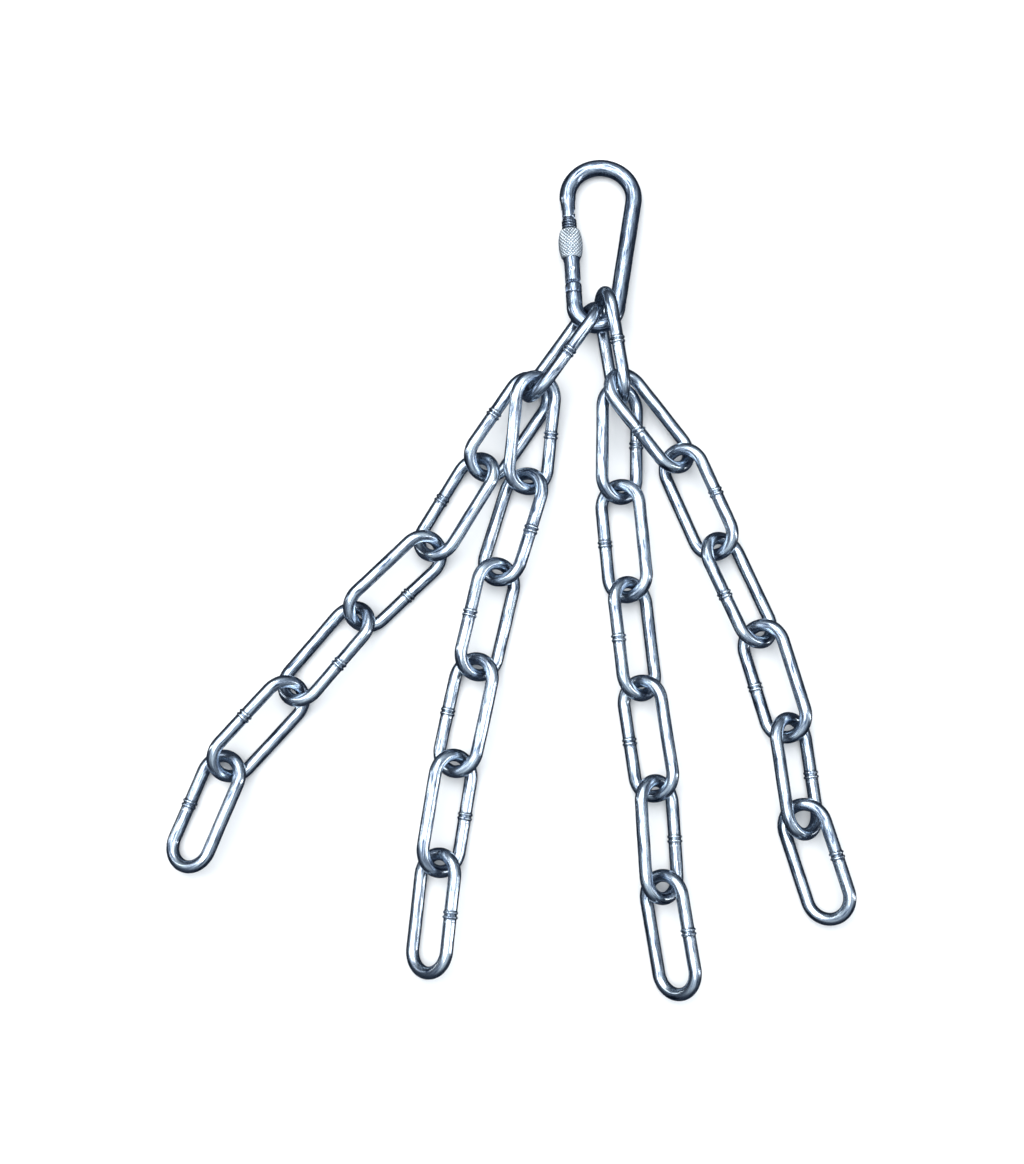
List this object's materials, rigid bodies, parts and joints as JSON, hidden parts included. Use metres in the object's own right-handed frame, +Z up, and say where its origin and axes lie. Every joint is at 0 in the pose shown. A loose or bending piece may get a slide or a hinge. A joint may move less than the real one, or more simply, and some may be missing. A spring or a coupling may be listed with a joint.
{
  "type": "hanging bag chain hanger",
  "caption": "Steel hanger chain for a heavy bag: a pear-shaped screw-lock carabiner carrying top links and spread legs of long welded links.",
  "frame": {"origin": "middle of the footprint on the surface that the chain lies on", "axes": "+Z up from the surface, +Y from the legs' free ends towards the carabiner, +X to the right"},
  "size_m": [0.238, 0.3044, 0.0203],
  "materials": {
    "bright_zinc": "bright zinc plate",
    "blue_zinc": "bright zinc plate with a blue tint",
    "pale_zinc": "satin zinc plate",
    "spring_steel": "drawn wire"
  },
  "bodies": {
    "hook": {"hook_body": "bright_zinc"},
    "gate": {"gate": "bright_zinc", "pivot_rivet": "pale_zinc", "latch_pin": "bright_zinc", "gate_spring": "spring_steel"},
    "lock_nut": {"lock_nut": "pale_zinc"},
    "plunger": {"spring_plunger": "spring_steel"},
    "top_link_left": {"top_link_left": "blue_zinc"},
    "top_link_right": {"top_link_right": "blue_zinc"},
    "leg_a_link_1": {"leg_a_link_1": "blue_zinc"},
    "leg_a_link_2": {"leg_a_link_2": "blue_zinc"},
    "leg_a_link_3": {"leg_a_link_3": "blue_zinc"},
    "leg_a_link_4": {"leg_a_link_4": "blue_zinc"},
    "leg_a_link_5": {"leg_a_link_5": "blue_zinc"},
    "leg_a_link_6": {"leg_a_link_6": "blue_zinc"},
    "leg_b_link_1": {"leg_b_link_1": "blue_zinc"},
    "leg_b_link_2": {"leg_b_link_2": "blue_zinc"},
    "leg_b_link_3": {"leg_b_link_3": "blue_zinc"},
    "leg_b_link_4": {"leg_b_link_4": "blue_zinc"},
    "leg_b_link_5": {"leg_b_link_5": "blue_zinc"},
    "leg_b_link_6": {"leg_b_link_6": "blue_zinc"},
    "leg_c_link_1": {"leg_c_link_1": "blue_zinc"},
    "leg_c_link_2": {"leg_c_link_2": "blue_zinc"},
    "leg_c_link_3": {"leg_c_link_3": "blue_zinc"},
    "leg_c_link_4": {"leg_c_link_4": "blue_zinc"},
    "leg_c_link_5": {"leg_c_link_5": "blue_zinc"},
    "leg_c_link_6": {"leg_c_link_6": "blue_zinc"},
    "leg_d_link_1": {"leg_d_link_1": "blue_zinc"},
    "leg_d_link_2": {"leg_d_link_2": "blue_zinc"},
    "leg_d_link_3": {"leg_d_link_3": "blue_zinc"},
    "leg_d_link_4": {"leg_d_link_4": "blue_zinc"},
    "leg_d_link_5": {"leg_d_link_5": "blue_zinc"},
    "leg_d_link_6": {"leg_d_link_6": "blue_zinc"}
  },
  "joints": [
    {"name": "gate_hinge", "type": "hinge", "parent": "hook", "child": "gate", "pos_m": [0.02318, 0.10758, 0.00717], "axis": [-0.0052, -0.0984, -0.9951], "range_deg": [0, 38], "stiffness_Nm_per_rad": 0.012, "springref_deg": -22.92},
    {"name": "lock_nut_slide", "type": "slide", "parent": "gate", "child": "lock_nut", "axis": [0.0525, -0.9938, 0.098], "range_m": [-0.0074, 0]},
    {"name": "plunger_slide", "type": "slide", "parent": "gate", "child": "plunger", "axis": [-0.0525, 0.9938, -0.098], "range_m": [0, 0.0008], "deforming": ["gate_spring"]},
    {"name": "top_link_left_swing", "type": "hinge", "parent": "hook", "child": "top_link_left", "pos_m": [0.02545, 0.08959, 0.00894], "axis": [-0.602, 0.7949, -0.0755], "range_deg": [-45, 10]},
    {"name": "top_link_right_swing", "type": "hinge", "parent": "hook", "child": "top_link_right", "pos_m": [0.03461, 0.08715, 0.00913], "axis": [0.9204, 0.3886, -0.0432], "range_deg": [-45, 5]},
    {"name": "leg_a_link_1_swing", "type": "hinge", "parent": "top_link_left", "child": "leg_a_link_1", "pos_m": [0.01142, 0.06615, 0.00647], "axis": [0.6953, -0.469, -0.5446], "range_deg": [0, 90]},
    {"name": "leg_a_link_2_swing", "type": "hinge", "parent": "leg_a_link_1", "child": "leg_a_link_2", "pos_m": [-0.01123, 0.03257, 0.00647], "axis": [-0.6953, 0.469, 0.5446], "range_deg": [-90, 25]},
    {"name": "leg_a_link_3_swing", "type": "hinge", "parent": "leg_a_link_2", "child": "leg_a_link_3", "pos_m": [-0.02902, 0.00266, 0.00658], "axis": [-0.7106, 0.427, -0.5592], "range_deg": [-90, 85]},
    {"name": "leg_a_link_4_swing", "type": "hinge", "parent": "leg_a_link_3", "child": "leg_a_link_4", "pos_m": [-0.05467, -0.02109, 0.00702], "axis": [0.5474, -0.5668, -0.6157], "range_deg": [-80, 90]},
    {"name": "leg_a_link_5_swing", "type": "hinge", "parent": "leg_a_link_4", "child": "leg_a_link_5", "pos_m": [-0.07716, -0.04831, 0.00647], "axis": [-0.6425, 0.5391, -0.5446], "range_deg": [-90, 90]},
    {"name": "leg_a_link_6_swing", "type": "hinge", "parent": "leg_a_link_5", "child": "leg_a_link_6", "pos_m": [-0.10078, -0.07441, 0.00723], "axis": [0.5693, -0.5126, -0.6428], "range_deg": [-15, 90]},
    {"name": "leg_b_link_1_swing", "type": "hinge", "parent": "top_link_left", "child": "leg_b_link_1", "pos_m": [0.01048, 0.06635, 0.01271], "axis": [0.8782, -0.0117, -0.4781], "range_deg": [-75, 0]},
    {"name": "leg_b_link_2_swing", "type": "hinge", "parent": "leg_b_link_1", "child": "leg_b_link_2", "pos_m": [0.00744, 0.03221, 0.00636], "axis": [-0.811, 0.2479, -0.5299], "range_deg": [-15, 15]},
    {"name": "leg_b_link_3_swing", "type": "hinge", "parent": "leg_b_link_2", "child": "leg_b_link_3", "pos_m": [-0.0044, -0.00652, 0.00636], "axis": [-0.811, 0.2479, -0.5299], "range_deg": [-55, 90]},
    {"name": "leg_b_link_4_swing", "type": "hinge", "parent": "leg_b_link_3", "child": "leg_b_link_4", "pos_m": [-0.01198, -0.04028, 0.0067], "axis": [0.7982, -0.1843, -0.5736], "range_deg": [-40, 90]},
    {"name": "leg_b_link_5_swing", "type": "hinge", "parent": "leg_b_link_4", "child": "leg_b_link_5", "pos_m": [-0.01912, -0.07414, 0.00624], "axis": [-0.8384, 0.1782, -0.515], "range_deg": [-40, 90]},
    {"name": "leg_b_link_6_swing", "type": "hinge", "parent": "leg_b_link_5", "child": "leg_b_link_6", "pos_m": [-0.02442, -0.10853, 0.00702], "axis": [-0.7783, 0.1233, 0.6157], "range_deg": [-90, 90]},
    {"name": "leg_c_link_1_swing", "type": "hinge", "parent": "top_link_right", "child": "leg_c_link_1", "pos_m": [0.04004, 0.06336, 0.0084], "axis": [0.8194, 0.0098, -0.5731], "range_deg": [0, 90]},
    {"name": "leg_c_link_2_swing", "type": "hinge", "parent": "leg_c_link_1", "child": "leg_c_link_2", "pos_m": [0.03934, 0.02291, 0.0067], "axis": [0.8194, 0.0098, -0.5731], "range_deg": [-65, 90]},
    {"name": "leg_c_link_3_swing", "type": "hinge", "parent": "leg_c_link_2", "child": "leg_c_link_3", "pos_m": [0.04269, -0.01254, 0.00647], "axis": [0.8355, 0.0731, 0.5446], "range_deg": [-90, 90]},
    {"name": "leg_c_link_4_swing", "type": "hinge", "parent": "leg_c_link_3", "child": "leg_c_link_4", "pos_m": [0.04643, -0.04764, 0.00723], "axis": [-0.7618, -0.0801, 0.6428], "range_deg": [-90, 90]},
    {"name": "leg_c_link_5_swing", "type": "hinge", "parent": "leg_c_link_4", "child": "leg_c_link_5", "pos_m": [0.05144, -0.08269, 0.00681], "axis": [0.8011, 0.1126, 0.5878], "range_deg": [-90, 90]},
    {"name": "leg_c_link_6_swing", "type": "hinge", "parent": "leg_c_link_5", "child": "leg_c_link_6", "pos_m": [0.05305, -0.11776, 0.00744], "axis": [0.7421, 0.0389, -0.6691], "range_deg": [-90, 90]},
    {"name": "leg_d_link_1_swing", "type": "hinge", "parent": "top_link_right", "child": "leg_d_link_1", "pos_m": [0.03772, 0.06621, 0.01371], "axis": [0.5657, 0.587, -0.5792], "range_deg": [-90, 0]},
    {"name": "leg_d_link_2_swing", "type": "hinge", "parent": "leg_d_link_1", "child": "leg_d_link_2", "pos_m": [0.06284, 0.0352, 0.00681], "axis": [-0.5657, -0.587, 0.5792], "range_deg": [-60, 90]},
    {"name": "leg_d_link_3_swing", "type": "hinge", "parent": "leg_d_link_2", "child": "leg_d_link_3", "pos_m": [0.07552, 0.00314, 0.0067], "axis": [0.754, 0.3201, 0.5736], "range_deg": [-90, 90]},
    {"name": "leg_d_link_4_swing", "type": "hinge", "parent": "leg_d_link_3", "child": "leg_d_link_4", "pos_m": [0.08972, -0.02863, 0.00691], "axis": [0.7296, 0.3248, -0.6018], "range_deg": [-90, 90]},
    {"name": "leg_d_link_5_swing", "type": "hinge", "parent": "leg_d_link_4", "child": "leg_d_link_5", "pos_m": [0.09883, -0.06192, 0.00647], "axis": [-0.8062, -0.2312, -0.5446], "range_deg": [-90, 90]},
    {"name": "leg_d_link_6_swing", "type": "hinge", "parent": "leg_d_link_5", "child": "leg_d_link_6", "pos_m": [0.10249, -0.09585, 0.00733], "axis": [-0.7491, -0.092, 0.6561], "range_deg": [-90, 35]}
  ],
  "couplings": [
    {"joint": "plunger_slide", "follows": "gate_hinge", "m_per_rad": 0.0012}
  ]
}
